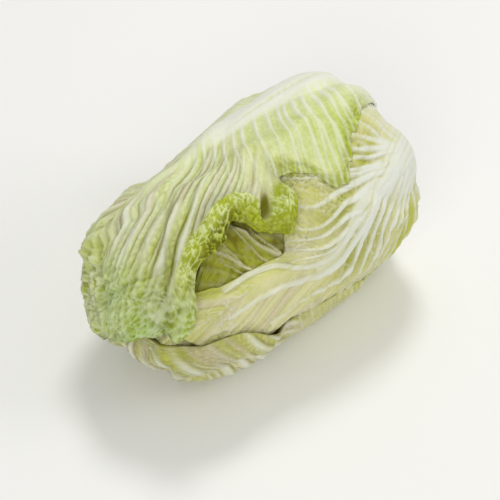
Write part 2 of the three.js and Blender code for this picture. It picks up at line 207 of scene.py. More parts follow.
def above(direction, height):
    """Points that height above the core, in directions from the head's middle."""
    across = np.maximum(np.hypot(direction[..., 1], direction[..., 2]), 1e-9)
    down = np.maximum(-direction[..., 2] / across, 0)
    squash = (1 + (down / BELLY) ** 10) ** -0.1
    x, radius, normal_x, normal_out = on_barrel(CORE, direction[..., 0], across, squash)
    out = (radius + normal_out * height) / across
    return np.stack([x + normal_x * height, out * direction[..., 1], out * direction[..., 2]], -1)


POLAR = np.radians(np.linspace(0, 180, 721))
PROFILE_X, PROFILE_RADIUS, _, _ = on_barrel(HEAD, np.cos(POLAR), np.sin(POLAR))
PROFILE = np.concatenate([[0], np.cumsum(np.hypot(np.diff(PROFILE_X), np.diff(PROFILE_RADIUS)))])


def turned(vector, axis, angle):
    """Each vector turned about the axis by its own angle."""
    c, s = np.cos(angle)[..., None], np.sin(angle)[..., None]
    return vector * c + np.cross(axis, vector) * s + axis * (vector @ axis)[..., None] * (1 - c)


def foot_of_vein(along, side):
    """Where on the midrib the vein through a point begins."""
    out = np.minimum(np.abs(side) * GIRTH, VEIN_SPREAD)
    reach = out * (1 - out / (2 * VEIN_SPREAD))
    low, high = np.zeros_like(along), along.copy()
    for _ in range(14):
        middle = (low + high) / 2
        short = middle + through(VEIN_LEAN, middle) * reach < along
        low, high = np.where(short, middle, low), np.where(short, high, middle)
    return (low + high) / 2


class Place:
    """Points on a leaf: mm along it, the angle and mm out of its midrib, the foot of the vein there, and how
    far the leaf is lifted off what it lies on."""

    def __init__(self, along, side):
        self.along, self.side = along, side
        self.radius = np.interp(along, PROFILE, PROFILE_RADIUS)
        self.foot = foot_of_vein(along, side)
        self.across = side * GIRTH
        self.out = np.abs(self.across)
        self.lift = 0


class Leaf:
    """A leaf's lie and outline: bend is its midrib's angle round the head, and left and right are its
    margins' angles from that, by mm along. Its tip is drawn over by fold_over degrees."""

    def __init__(self, name, bend, left=PLAIN_SIDE, right=PLAIN_SIDE, length=240, fold_over=14, pleat=0.3,
                 vein_height=VEIN_HEIGHT):
        self.name, self.bend, self.left, self.right = name, bend, left, right
        self.length, self.fold_over, self.pleat = length, math.radians(fold_over), pleat
        self.vein_height = vein_height
        self.seed = int(bend[0][1])
        angle = math.radians(bend[0][1])
        self.outward = np.array([0, math.cos(angle), math.sin(angle)])
        self.across = np.array([0, -math.sin(angle), math.cos(angle)])

    def midrib_round(self, along):
        return np.radians(through(self.bend, along) - self.bend[0][1])

    def fold(self, x):
        return self.fold_over * smooth(0.1, 0.95, -x)

    def direction(self, along, side):
        polar = np.interp(along, PROFILE, POLAR)
        angle = side + self.midrib_round(along)
        out, over = np.sin(polar) * np.cos(angle), np.sin(polar) * np.sin(angle)
        level = np.stack([np.cos(polar), np.zeros_like(polar), np.zeros_like(polar)], -1)
        level = level + out[..., None] * self.outward + over[..., None] * self.across
        folded = level
        for _ in range(12):
            folded = turned(level, self.across, self.fold(folded[..., 0]))
        return folded

    def place(self, direction):
        level = turned(direction, self.across, -self.fold(direction[..., 0]))
        along = np.interp(np.arccos(np.clip(level[..., 0], -1, 1)), POLAR, PROFILE)
        side = np.arctan2(level @ self.across, level @ self.outward) - self.midrib_round(along)
        return Place(along, np.arctan2(np.sin(side), np.cos(side)))

    def margin(self, along, side):
        blade = np.radians(np.where(side < 0, through(self.left, along), through(self.right, along)))
        close = np.clip((along - self.length + TIP_LENGTH) / TIP_LENGTH, 0, 1)
        return blade * np.sqrt(1 - close**2.5)

    def past(self, place):
        """How many mm past the leaf's margins and past its tip a place is."""
        side = (np.abs(place.side) - self.margin(place.along, place.side)) * np.maximum(place.radius, 10)
        return side, place.along - self.length

    def beyond(self, place):
        return np.maximum(*self.past(place))


def midrib(place, spare=0.0):
    """How high the midrib stands, with some mm to spare at its sides."""
    half_width = through(MIDRIB_HALF_WIDTH, place.foot) + spare
    t = np.clip(np.abs(place.side) * place.radius / half_width, 0, 1)
    return through(MIDRIB_HEIGHT, place.foot) * (1 - t * t) ** 1.5


def settle(direction):
    """The slack place among the leaves sinks everything over it a little."""
    along = np.interp(np.arccos(np.clip(direction[..., 0], -1, 1)), POLAR, PROFILE)
    side = np.arctan2(direction[..., 2], direction[..., 1]) - math.radians(HOLLOW["round"])
    across = np.arctan2(np.sin(side), np.cos(side)) * GIRTH
    away = ((along - HOLLOW["along"]) / HOLLOW["length"]) ** 2 + (across / HOLLOW["width"]) ** 2
    return -HOLLOW["depth"] * np.exp(-away)


def vein_feet(seed):
    """Where the side veins leave the midrib, close together at the stem and further apart towards the tip."""
    feet = [BLADE_START]
    while feet[-1] < VEIN_SPACING[-1][0]:
        spacing = float(through(VEIN_SPACING, feet[-1]))
        feet.append(feet[-1] + spacing * (0.75 + 0.5 * float(scatter(len(feet), 3, seed))))
    return feet


def veins(place, seed):
    """The side veins, 1 along the middle of each. They leave the midrib at their feet, thin out and fork."""
    foot, out = place.foot, place.out
    lean = through(VEIN_LEAN, foot) * (1 - np.minimum(out, VEIN_SPREAD) / VEIN_SPREAD)
    square = 1 / np.sqrt(1 + lean**2)
    width = through([(0, 1.8), (18, 0.95), (45, 0.55), (120, 0.45)], out)
    ridge = np.zeros_like(foot)
    for hand in (-1, 1):
        feet = vein_feet(seed + hand)
        here = np.where(place.side * hand >= 0, 1.0, 0.0)
        for i, start in enumerate(feet[:-1]):
            bow = 1.2 * wander(out / 26, np.full_like(out, i + 0.5), seed + hand)
            split = 16 + 26 * float(scatter(i, 1, seed + hand))
            main = here * np.exp(-(((foot - start - bow) * square / width) ** 2))
            apart = 0.5 * (feet[i + 1] - start) * smooth(split, split + 40, out)
            fork = here * np.exp(-(((foot - start - bow - apart) * square / (0.75 * width)) ** 2))
            main = main * (1 - 0.7 * float(scatter(i, 5, seed)) * smooth(24, 60, out))
            ridge = np.maximum(ridge, np.maximum(main, 0.55 * smooth(split, split + 8, out) * fork))
    return ridge


def new_piece(name, points, faces, material, values):
    """A smooth mesh piece of the head in metres, with a number per point for each named value."""
    mesh = bpy.data.meshes.new(name)
    mesh.vertices.add(len(points))
    mesh.vertices.foreach_set("co", ((points + AXIS) * MM).ravel())
    corners = np.concatenate([part.ravel() for part in faces])
    sizes = np.concatenate([np.full(len(part), part.shape[1]) for part in faces])
    mesh.loops.add(len(corners))
    mesh.loops.foreach_set("vertex_index", corners.astype(np.int32))
    mesh.polygons.add(len(sizes))
    mesh.polygons.foreach_set("loop_start", (np.cumsum(sizes) - sizes).astype(np.int32))
    mesh.polygons.foreach_set("use_smooth", np.ones(len(sizes), bool))
    mesh.update(calc_edges=True)
    mesh.materials.append(material)
    for key, value in values.items():
        kind = "FLOAT_VECTOR" if value.ndim == 2 else "FLOAT"
        data = mesh.attributes.new(key, kind, "POINT").data
        data.foreach_set("vector" if value.ndim == 2 else "value", value.astype(np.float32).ravel())
    piece = bpy.data.objects.new(name, mesh)
    bpy.context.collection.objects.link(piece)
    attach(piece, "root")
    return piece


def linear(hex_color):
    parts = [int(hex_color[i:i + 2], 16) / 255 for i in (1, 3, 5)]
    return (*(p / 12.92 if p < 0.04045 else ((p + 0.055) / 1.055) ** 2.4 for p in parts), 1)


def add_node(tree, kind, inputs=(), **settings):
    """A node with its settings, and with its inputs, by name or number, set to values or wired to sockets."""
    node = tree.nodes.new("ShaderNode" + kind)
    for key, value in settings.items():
        setattr(node, key, value)
    for key, value in dict(inputs).items():
        if isinstance(value, bpy.types.NodeSocket):
            tree.links.new(value, node.inputs[key])
        else:
            node.inputs[key].default_value = value
    return node


def mix_color(tree, share, first, second):
    return add_node(tree, "Mix", {0: share, 6: first, 7: second}, data_type="RGBA").outputs[2]


def spread(tree, value, low, high, to_low, to_high):
    inputs = {0: value, 1: low, 2: high, 3: to_low, 4: to_high}
    return add_node(tree, "MapRange", inputs, interpolation_type="SMOOTHSTEP").outputs[0]


def math_node(tree, operation, first, second):
    return add_node(tree, "Math", {0: first, 1: second}, operation=operation).outputs[0]


def leaf_skin_group():
    """The net of small veins in a leaf's skin, the grain that runs along its side veins, and a slow mottling.

    On Leaf is where the point is on the leaf, in mm: its vein's foot, how far out, and how far along. Cell is
    how wide the net's meshes are, in mm."""
    group = bpy.data.node_groups.new("leaf_skin", "ShaderNodeTree")
    group.interface.new_socket("On Leaf", in_out="INPUT", socket_type="NodeSocketVector")
    group.interface.new_socket("Cell", in_out="INPUT", socket_type="NodeSocketFloat")
    for name in ("Net", "Grain", "Mottle"):
        group.interface.new_socket(name, in_out="OUTPUT", socket_type="NodeSocketFloat")
    start = group.nodes.new("NodeGroupInput")
    end = group.nodes.new("NodeGroupOutput")
    on_leaf, cell = start.outputs["On Leaf"], start.outputs["Cell"]
    parts = add_node(group, "SeparateXYZ", {0: on_leaf}).outputs
    flat = add_node(group, "CombineXYZ", {0: parts[1], 1: parts[2]}).outputs[0]
    bend = add_node(group, "TexNoise", {"Vector": flat, "Scale": 0.35, "Detail": 3.0})
    warp = {0: bend.outputs["Color"], 1: (5, 5, 5)}
    shift = add_node(group, "VectorMath", warp, operation="MULTIPLY").outputs[0]
    bent = add_node(group, "VectorMath", {0: flat, 1: shift}, operation="ADD").outputs[0]
    cells = add_node(
        group, "TexVoronoi", {"Vector": bent, "Scale": math_node(group, "DIVIDE", 1.0, cell)},
        feature="DISTANCE_TO_EDGE", voronoi_dimensions="2D",
    )
    group.links.new(spread(group, cells.outputs["Distance"], 0.01, 0.16, 1.0, 0.0), end.inputs["Net"])
    across = math_node(group, "MULTIPLY", parts[0], 1.1)
    out = math_node(group, "MULTIPLY", parts[1], 0.07)
    fibre = add_node(group, "CombineXYZ", {0: across, 1: out}).outputs[0]
    grain = add_node(group, "TexNoise", {"Vector": fibre, "Scale": 1.0, "Detail": 3.0})
    group.links.new(grain.outputs["Fac"], end.inputs["Grain"])
    uneven = {"Vector": flat, "Scale": 0.09, "Detail": 4.0, "Roughness": 0.6}
    mottle = add_node(group, "TexNoise", uneven)
    group.links.new(mottle.outputs["Fac"], end.inputs["Mottle"])
    return group


LEAF_SKIN = leaf_skin_group()
NET_CELL = 2.1
NET_HEIGHT = 0.25
FRESH_GREEN = "#acd544"
# A tan: worn on the leaves' folds, and a painted highlight on the crumples under the frill.
WORN_AND_LIT_TAN = "#d6c8ab"


def leaf_material(name, pale, green, rib, painted_shade_and_browning, roughness=0.42):
    """Living leaf, by its shares of green, fresh green, tan, painted shade and white rib. The tan is worn,
    and on the crumples under the frill it is a painted highlight. The painted shade is a dark colour put in
    creases, hollows and under the frill; on the stem the same share is the cut's real browning. A share that
    a piece doesn't give is none."""
    material = bpy.data.materials.new(name)
    material.use_nodes = True
    tree = material.node_tree
    shader = tree.nodes["Principled BSDF"]
    share = {
        key: add_node(tree, "Attribute", attribute_name=key).outputs["Fac"]
        for key in ("green", "deep", "tan", "painted_shade_and_browning", "rib")
    }
    on_leaf = add_node(tree, "Attribute", attribute_name="on_leaf").outputs["Vector"]
    skin = add_node(tree, "Group", node_tree=LEAF_SKIN)
    tree.links.new(on_leaf, skin.inputs["On Leaf"])
    skin.inputs["Cell"].default_value = NET_CELL
    net, grain, mottle = (skin.outputs[key] for key in ("Net", "Grain", "Mottle"))
    patchy = math_node(tree, "ADD", share["green"], spread(tree, mottle, 0.3, 0.7, -0.2, 0.2))
    patchy = math_node(tree, "ADD", patchy, spread(tree, grain, 0.35, 0.65, -0.12, 0.12))
    patchy = add_node(tree, "Clamp", {0: patchy}).outputs[0]
    color = mix_color(tree, patchy, linear(pale), linear(green))
    color = mix_color(tree, share["deep"], color, linear(FRESH_GREEN))
    color = mix_color(tree, share["tan"], color, linear(WORN_AND_LIT_TAN))
    net_share = math_node(tree, "MULTIPLY", net, spread(tree, share["green"], 0.2, 0.9, 0.35, 0.15))
    color = mix_color(tree, net_share, color, linear(pale))
    # Painted shade: the dark colour is mixed in by its share; on the stem that share is the cut's real
    # browning.
    color = mix_color(tree, share["painted_shade_and_browning"], color, linear(painted_shade_and_browning))
    color = mix_color(tree, share["rib"], color, linear(rib))
    tree.links.new(color, shader.inputs["Base Color"])
    shader.inputs["Roughness"].default_value = roughness
    shader.inputs["Specular IOR Level"].default_value = 0.22
    relief = math_node(tree, "ADD", math_node(tree, "MULTIPLY", net, 0.6), grain)
    raised = {"Strength": 0.55, "Distance": NET_HEIGHT * MM, "Height": relief}
    tree.links.new(add_node(tree, "Bump", raised).outputs["Normal"], shader.inputs["Normal"])
    return material


def round_faces(rows, columns):
    """Faces of a round body: rings of points, in rows from +X to -X, and then its two end points."""
    at = np.arange(rows * columns).reshape(rows, columns)
    beside = np.roll(at, -1, axis=1)
    bands = np.stack([at[:-1], at[1:], beside[1:], beside[:-1]], -1).reshape(-1, 4)
    front, back = np.full(columns, at.size), np.full(columns, at.size + 1)
    return [bands, np.stack([front, at[0], beside[0]], -1), np.stack([back, beside[-1], at[-1]], -1)]


def heart():
    rows, columns = 120, 160
    polar = np.linspace(0, math.pi, rows + 1)[1:-1, None]
    angle = np.linspace(0, 2 * math.pi, columns, endpoint=False)[None, :]
    ones = np.ones_like(polar * angle)
    across, up = np.sin(polar) * np.cos(angle), np.sin(polar) * np.sin(angle)
    direction = np.stack([np.cos(polar) * ones, across, up], -1)
    direction = np.concatenate([direction.reshape(-1, 3), [(1, 1e-6, 0), (-1, 1e-6, 0)]])
    standing, rib = np.zeros(len(direction)), np.zeros(len(direction))
    for n in range(5):
        leaf = Leaf(f"heart_{n}", [(LEAF_START, 45 + SPIRAL * n)], length=236 - 6 * n)
        place = leaf.place(direction)
        here = 1 - smooth(-1, 3, leaf.beyond(place))
        vein = veins(place, 70 + n)
        standing += here * (BLADE + 0.3 * midrib(place) + 0.5 * vein)
        rib = np.maximum(rib * (1 - here), here * np.maximum(vein, smooth(1, 3, midrib(place))))
    relief = HEART_RELIEF * np.exp(-standing / HEART_RELIEF)
    points = above(direction, settle(direction) - LEAF_GAP - relief)
    values = {
        "rib": 0.8 * rib, "green": np.full(len(points), 0.15),
        "on_leaf": np.stack([place.foot, place.across, place.along], -1),
    }
    material = leaf_material("heart_leaf", pale="#eceac2", green="#dbe0a0", rib="#edefd9", painted_shade_and_browning="#c9c98a")
    faces = round_faces(rows - 1, columns)
    piece = new_piece("heart_barrel", points, faces, material, values)
    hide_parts("heart")


heart()

# ---- The inner leaves ----
# Five broad leaves wrapped round the heart, each held flat by the next, so they have grown pale. Every one is
# a thick white midrib that spreads from the stem, with side veins and a thin net-veined blade to each side,
# and all are cut off square with the stem.

TIP_GAP = 2.4  # round the head's tip, where the leaves lie looser
HELD = 4  # mm past a margin, where the next leaf is still held up in full
DRAPE = 18  # mm past a margin, where it has come down on what lies below
VEIN_ROOM = 1.1
PLEAT_DEPTH = 2.0
THINNEST = 0.6
CUT_ALONG = 32  # about where the knife crosses a leaf
REST_Z = -60  # the table, below the head's middle


def cover(leaf, direction):
    """How far leaf holds up what lies on it: whole on the leaf, and none past the drape."""
    place = leaf.place(direction)
    past_side, past_tip = leaf.past(place)
    share = (1 - smooth(HELD, DRAPE, past_side)) * (1 - smooth(HELD, DRAPE, past_tip))
    folds = leaf.pleat * PLEAT_DEPTH * smooth(110, 180, place.along)
    gap = LEAF_GAP + (TIP_GAP - LEAF_GAP) * smooth(0.2, 0.7, -direction[..., 0])
    return share * (gap + BLADE + VEIN_ROOM + folds + midrib(place, 10))


def lanes(place):
    """The lanes of a leaf's long folds: mm out of the midrib where the lane through a point begins."""
    past = np.clip(place.along - 130, 0, 130)
    return np.sign(place.side) * (place.out - 0.75 * past + 0.0022 * past**2)


def strands(place, seed, spacing, width, sharp):
    """Long narrow folds that run down to the tip: 1 on their tops, and 1 in the sharp creases on one side of
    them, a mask that is used only for painted shade.
    """
    lane = lanes(place)
    lane = (lane + 1.5 * wander(lane / 14, place.along / 16, seed + 3)) / spacing
    top, painted_shade_and_browning = np.zeros_like(lane), np.zeros_like(lane)
    for beside in (-1, 0, 1):
        strand = np.floor(lane) + beside
        middle = strand + 0.5 + 0.35 * wander(place.along / 35, strand + 0.5, seed)
        size = 0.55 + 0.9 * scatter(strand, 2, seed)
        alive = smooth(-0.4, 0.1, wander(place.along / 26, strand + 0.5, seed + 1))
        off = (lane - middle) * spacing / (width * size)
        top = np.maximum(top, alive * np.exp(-np.where(off < 0, 2.2, 0.8) * off**2))
        painted_shade_and_browning = np.maximum(painted_shade_and_browning, alive * np.exp(-sharp * (off + 1.3) ** 2))
    return top, painted_shade_and_browning * (1 - top)


def away_from(line, along, across):
    """How many mm each place is away from a line of points."""
    nearest = np.full(np.shape(along), 1e9)
    for (x0, y0), (x1, y1) in zip(line, line[1:]):
        stretch = (x1 - x0) ** 2 + (y1 - y0) ** 2
        t = np.clip(((along - x0) * (x1 - x0) + (across - y0) * (y1 - y0)) / stretch, 0, 1)
        nearest = np.minimum(nearest, np.hypot(along - x0 - t * (x1 - x0), across - y0 - t * (y1 - y0)))
    return nearest


def rounded(path):
    """The same path with its corners cut, twice over."""
    for _ in range(2):
        path = np.asarray(path, float)
        near, far = 0.75 * path[:-1] + 0.25 * path[1:], 0.25 * path[:-1] + 0.75 * path[1:]
        path = [path[0], *np.stack([near, far], 1).reshape(-1, 2), path[-1]]
    return path


def long_ribs(ribs, place):
    """Ribs that run their own way, 1 along the middle of each. They narrow towards their ends."""
    share = np.zeros_like(place.along)
    for half_width, line in ribs:
        path = [(along, math.radians(degrees) * GIRTH) for along, degrees in line]
        taper = through([(line[0][0], 1), (line[-1][0], 0.42)], place.along)
        away = away_from(rounded(path), place.along, place.across) / (half_width * taper)
        share = np.maximum(share, smooth(1.35, 0.45, away) * taper**0.5)
    return share


def closed_leaf(outside, inside, step):
    """Points and faces of a leaf: a fine outer skin, an inner skin of every few rows, and the rim between."""
    rows, columns = outside.shape[:2]
    at = np.arange(rows * columns).reshape(rows, columns)
    inner = inside[::step, ::step]
    under = at.size + np.arange(inner.shape[0] * inner.shape[1]).reshape(inner.shape[:2])
    skin = np.stack([at[:-1, :-1], at[1:, :-1], at[1:, 1:], at[:-1, 1:]], -1).reshape(-1, 4)
    lining = np.stack([under[:-1, :-1], under[:-1, 1:], under[1:, 1:], under[1:, :-1]], -1).reshape(-1, 4)
    rim = []
    sides = [(at[0], under[0]), (at[-1][::-1], under[-1][::-1])]
    sides += [(at[::-1, 0], under[::-1, 0]), (at[:, -1], under[:, -1])]
    for fine, coarse in sides:
        for n in range(len(coarse) - 1):
            start, end = coarse[n], coarse[n + 1]
            edge = fine[n * step:(n + 1) * step + 1]
            rim += [(edge[j], edge[j + 1], start if j < step // 2 else end) for j in range(step)]
            rim.append((edge[step // 2], end, start))
    points = np.concatenate([outside.reshape(-1, 3), inner.reshape(-1, 3)])
    return points, [skin, lining, np.array(rim)]


def mesh_columns(leaf, mesh, step):
    """The columns of a leaf's mesh, as shares of the way from its midrib (0) to its margins (-1 and 1)."""
    left, right = (
        step * round(math.radians(max(degrees for _, degrees in margin)) * GIRTH / mesh / step)
        for margin in (leaf.left, leaf.right)
    )
    return np.concatenate([np.linspace(-1, 0, left + 1)[:-1], np.linspace(0, 1, right + 1)])[None, :]


def lie(leaf, along, share, calm):
    """Places on a leaf and their directions, out to its waved margins. Within the calm angle the mesh doesn't
    follow them."""
    reach = leaf.margin(along, share)
    hand = np.sign(share) * np.ones_like(along)
    wave = 1.1 * wander(along / 9, hand * 3.5, leaf.seed)
    wave = wave + 0.7 * wander(along / 3.2, hand * 5.5, leaf.seed + 1)
    wave = wave * (0.6 + leaf.pleat) * smooth(60, 110, along) * smooth(0, 0.3, reach)
    reach = reach + wave / GIRTH
    side = share * reach
    if calm:
        held = 0.9 * np.minimum(reach, math.radians(calm))
        size, inner = np.abs(share), 0.6
        outer = held + (reach - held) * np.clip((size - inner) / (1 - inner), 0, 1)
        side = np.sign(share) * np.where(size < inner, size / inner * held, outer)
    return Place(along, side), leaf.direction(along, side)


def leaf_relief(leaf, place, green):
    """How thick a leaf is, with its midrib, veins, folds and blisters, and its shares of colour."""
    along, out, across = place.along, place.out, place.across
    half_width = through(MIDRIB_HALF_WIDTH, place.foot)
    out_of_rib = out - 0.7 * half_width
    blade = smooth(0, 8, out_of_rib)
    begun = smooth(BLADE_START, BLADE_START + 10, place.foot)
    vein = veins(place, leaf.seed) * begun * (1 - 0.75 * smooth(140, 195, along))
    folded = smooth(125, 180, along) * smooth(2, 12, out + 12 * smooth(175, 215, along))
    bold, bold_crease = strands(place, leaf.seed + 9, spacing=10.5, width=2.1, sharp=6)
    fine, fine_crease = strands(place, leaf.seed + 20, spacing=3.8, width=0.95, sharp=2.5)
    fading = smooth(82, 48, out)
    fine, fine_crease = fine * fading, fine_crease * fading
    bent = across + 2 * wander(across / 6, along / 6, leaf.seed + 7)
    swelling = blisters(bent / 2.8, along / 3.8, leaf.seed + 3)
    crinkle = 0.15 + 0.5 * smooth(0.5, 0.95, along / leaf.length) * (1 - midrib(place) / 4.7)
    groove = wander(place.side * place.radius / 2.6, along / 70, leaf.seed + 4)
    thickness = BLADE + midrib(place) + vein * through(leaf.vein_height, out_of_rib)
    flatter = 1 - 0.45 * smooth(200, 235, along)
    thickness = thickness + max(leaf.pleat, 0.65) * folded * (PLEAT_DEPTH * bold * flatter + 0.6 * fine)
    thickness = thickness + crinkle * swelling * blade - 0.4 * smooth(0, 0.6, groove) * (midrib(place) > 0)

    rib = (1 - smooth(0.55, 1.15, out / half_width)) * (1 - 0.75 * smooth(120, 175, along))
    rib = rib * (1 - 0.6 * smooth(0.1, 0.6, groove) * smooth(45, 75, along))
    rib = np.maximum(rib, vein * through([(0, 1), (45, 0.85), (120, 0.6)], out))
    rib = np.maximum(rib, smooth(74, 48, along) * smooth(75, 50, out))
    pale_fold = 0.75 + 0.25 * wander(across / 11, along / 40, leaf.seed + 6)
    rib = np.maximum(rib, pale_fold * folded * np.maximum(bold, 0.7 * fine))
    # Painted shade: the dents between blisters, the creases beside the folds and streaks in the slots get the
    # dark colour.
    dents = (1 - swelling) * blade * (0.12 + 0.4 * smooth(0.5, 0.9, along / leaf.length))
    lane = lanes(place)
    streak = smooth(0.1, 0.7, wander(lane / 2.2, along / 50, leaf.seed + 31)) * (1 - bold)
    shade = folded * np.maximum(np.maximum(0.9 * bold_crease, 0.75 * fine_crease), 0.4 * streak)
    # The tan here is worn streaks along the lanes.
    worn_and_lit_tops = smooth(-0.1, 0.6, wander(lane / 5, along / 60, leaf.seed + 30))
    colors = {
        "rib": rib, "green": green(place, leaf), "painted_shade_and_browning": np.maximum(shade, dents * (1 - rib)),
        "tan": 0.7 * folded * worn_and_lit_tops,
    }
    return thickness, colors


def lay_leaf(leaf, inside_leaves, material, green, mesh=1.1, step=4, calm=None, shape=None, tuck=0.8):
    """One wrapper leaf, laid on the leaves inside it, with its margins tucked in. green is how green its
    blade is, and shape adds what is its own."""
    def under(direction):
        return settle(direction) + sum(cover(other, direction) for other in inside_leaves)

    share = mesh_columns(leaf, mesh, step)
    row_count = step * round((leaf.length - CUT_ALONG) / mesh / step)
    near_cut = np.linspace(LEAF_START, 90, 63)[:, None] * np.ones_like(share)
    direction = lie(leaf, near_cut, share, calm)[1]
    mm_beyond_cut = (above(direction, under(direction))[..., 0] > CUT_X).sum(0)
    start, tip = near_cut[0] + mm_beyond_cut - 0.5, leaf.length - 0.4
    along = start + (tip - start) * np.linspace(0, 1, row_count + 1)[:, None]
    place, direction = lie(leaf, along, share, calm)

    thickness, values = leaf_relief(leaf, place, green)
    if shape:
        thickness = shape(place, thickness, values)
    tucked = tuck * smooth(9, 1, -leaf.beyond(place)) * (place.lift == 0)
    base = under(direction) + place.lift - tucked
    outside, inside = above(direction, base + np.maximum(thickness, THINNEST)), above(direction, base)
    for skin, lowest in ((outside, REST_Z), (inside, REST_Z + THINNEST)):
        skin[..., 0] = np.minimum(skin[..., 0], CUT_X)
        skin[..., 2] = np.maximum(skin[..., 2], lowest)
    values["on_leaf"] = np.stack([place.foot, place.across, along], -1)
    points, faces = closed_leaf(outside, inside, step)
    whole = {
        key: np.concatenate([part.reshape(-1, *part.shape[2:]) for part in (value, value[::step, ::step])])
        for key, value in values.items()
    }
    piece = new_piece(leaf.name + "_blade", points, faces, material, whole)
    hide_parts(leaf.name)


# The last colour of the inner leaves is their painted shade, a dark olive.
INNER = leaf_material("inner_leaf", pale="#dfdf92", green="#bcc530", rib="#eceada", painted_shade_and_browning="#7b7500")


def inner_green(place, leaf):
    from_margin = -leaf.beyond(place)
    return 0.25 + 0.35 * smooth(25, 0, from_margin) + 0.3 * smooth(150, 230, place.along)


INNER_LEAVES = [
    Leaf("leaf_4", [(28, 12)], length=256),
    Leaf(
        "leaf_5", [(28, 235)], left=[(34, 36), (70, 58), (110, 84), (165, 118), (230, 116)], length=252,
        vein_height=[(0, 0), (10, 1.1), (40, 1.6), (80, 1.3)],
    ),
    Leaf("leaf_6", [(28, 97)], length=248),
    Leaf("leaf_7", [(28, 320)], length=244),
    Leaf("leaf_8", [(28, 182)], length=240),
]
HIDDEN_MESH = {"leaf_7": 1.6, "leaf_8": 1.3}

# Ribs that run their own way, each as its half width in mm and its line, in mm along and degrees out.
SHADED_RIBS = [
    (3.4, [(140, -52), (160, -70), (178, -89), (183.5, -96), (188, -106), (197, -112), (206, -118)]),
    (1.3, [(152, -50), (170, -68), (187, -84), (190, -93), (193, -102), (198, -109), (206, -118)]),
    (1.8, [(165, -48), (186, -66), (206, -84), (210, -92), (214, -98), (221, -106)]),
    (2.9, [(170, -46), (188, -64), (202, -81), (209.5, -86), (214, -91), (222, -96), (234, -99)]),
    (0.9, [(172, -86), (178, -97), (184, -110)]), (0.7, [(200, -72), (216, -84), (226, -90)]),
]


def patch(along, across, middle, size):
    """A soft round patch, 1 in its middle. middle and size are each along and across."""
    return np.exp(-(((along - middle[0]) / size[0]) ** 2) - ((across - middle[1]) / size[1]) ** 2)


def in_the_shade(place, thickness, values):
    """The side that lies open under the frill is crumpled. It has ribs of its own and a greener blade,
    painted dull olive with the frill's shade. The crumple is painted too: shade in its hollows and a tan
    highlight on its tops.
    """
    along, degrees = place.along, np.degrees(place.side)
    open_side = smooth(-60, -76, degrees) * smooth(150, 172, along)
    ribs = long_ribs(SHADED_RIBS, place) * open_side
    crumpled = 0.6 * wander(degrees / 8, along / 6, 24) + 0.4 * wander(degrees / 3, along / 3, 25)
    # Painted shade under the frill: deeper further in, darkest below the frill's right lobe, and in the
    # crumple's hollows.
    deepest = patch(along, degrees, (170, -90), (8, 7))
    under_frill = 0.42 + 0.4 * smooth(-98, -114, degrees) + 0.5 * deepest + 0.5 * smooth(0.1, -0.6, crumpled)
    # Tan: the ribs' own colour, and on the crumple's tops a painted highlight.
    worn_and_lit_tops = np.maximum(ribs, open_side * smooth(0.1, 0.6, crumpled))
    # The frill's shade is painted here: the white ribs dimmed, the blade greener and dark olive.
    values["rib"] = np.maximum(values["rib"] * (1 - 0.85 * open_side), 0.5 * ribs)
    values["green"] = values["green"] + 0.7 * open_side
    values["tan"] = values["tan"] * (1 - open_side) + 0.5 * worn_and_lit_tops
    values["painted_shade_and_browning"] = np.maximum(values["painted_shade_and_browning"], np.minimum(under_frill, 1) * open_side * (1 - ribs))
    return thickness * (1 - 0.3 * open_side) + 2.0 * ribs + 1.5 * open_side * crumpled


def in_the_gap(place, thickness, values):
    """What shows between two outer leaves lies in their shade."""
    shaded = smooth(150, 172, place.along)
    values["rib"] = values["rib"] * (1 - 0.6 * shaded)
    values["green"] = values["green"] + 0.5 * shaded
    values["painted_shade_and_browning"] = np.maximum(values["painted_shade_and_browning"], 0.35 * shaded)
    return thickness


OWN_SHAPE = {"leaf_5": in_the_shade, "leaf_6": in_the_gap}

for index, leaf in enumerate(INNER_LEAVES):
    lay_leaf(
        leaf, INNER_LEAVES[index + 1:], INNER, inner_green,
        mesh=HIDDEN_MESH.get(leaf.name, 1.1), shape=OWN_SHAPE.get(leaf.name),
    )

# ---- The outer leaves ----
# The three leaves that light reached. Their ribs are as white as the rest, and their blades are yellow-green,
# greenest along the margins and at the tips, where the skin is puckered into small blisters. The outermost
# one ends on the front in a ruffled frill with a deep pocket.

# The last colour of each outer material is its painted shade, a dark olive.
OUTER = leaf_material("outer_leaf", pale="#e2ebae", green="#b5c41c", rib="#ebedde", painted_shade_and_browning="#727000")
FRONT_SKIN = leaf_material("front_leaf", pale="#e1dea8", green="#bcc038", rib="#e5e8dd", painted_shade_and_browning="#857f30")

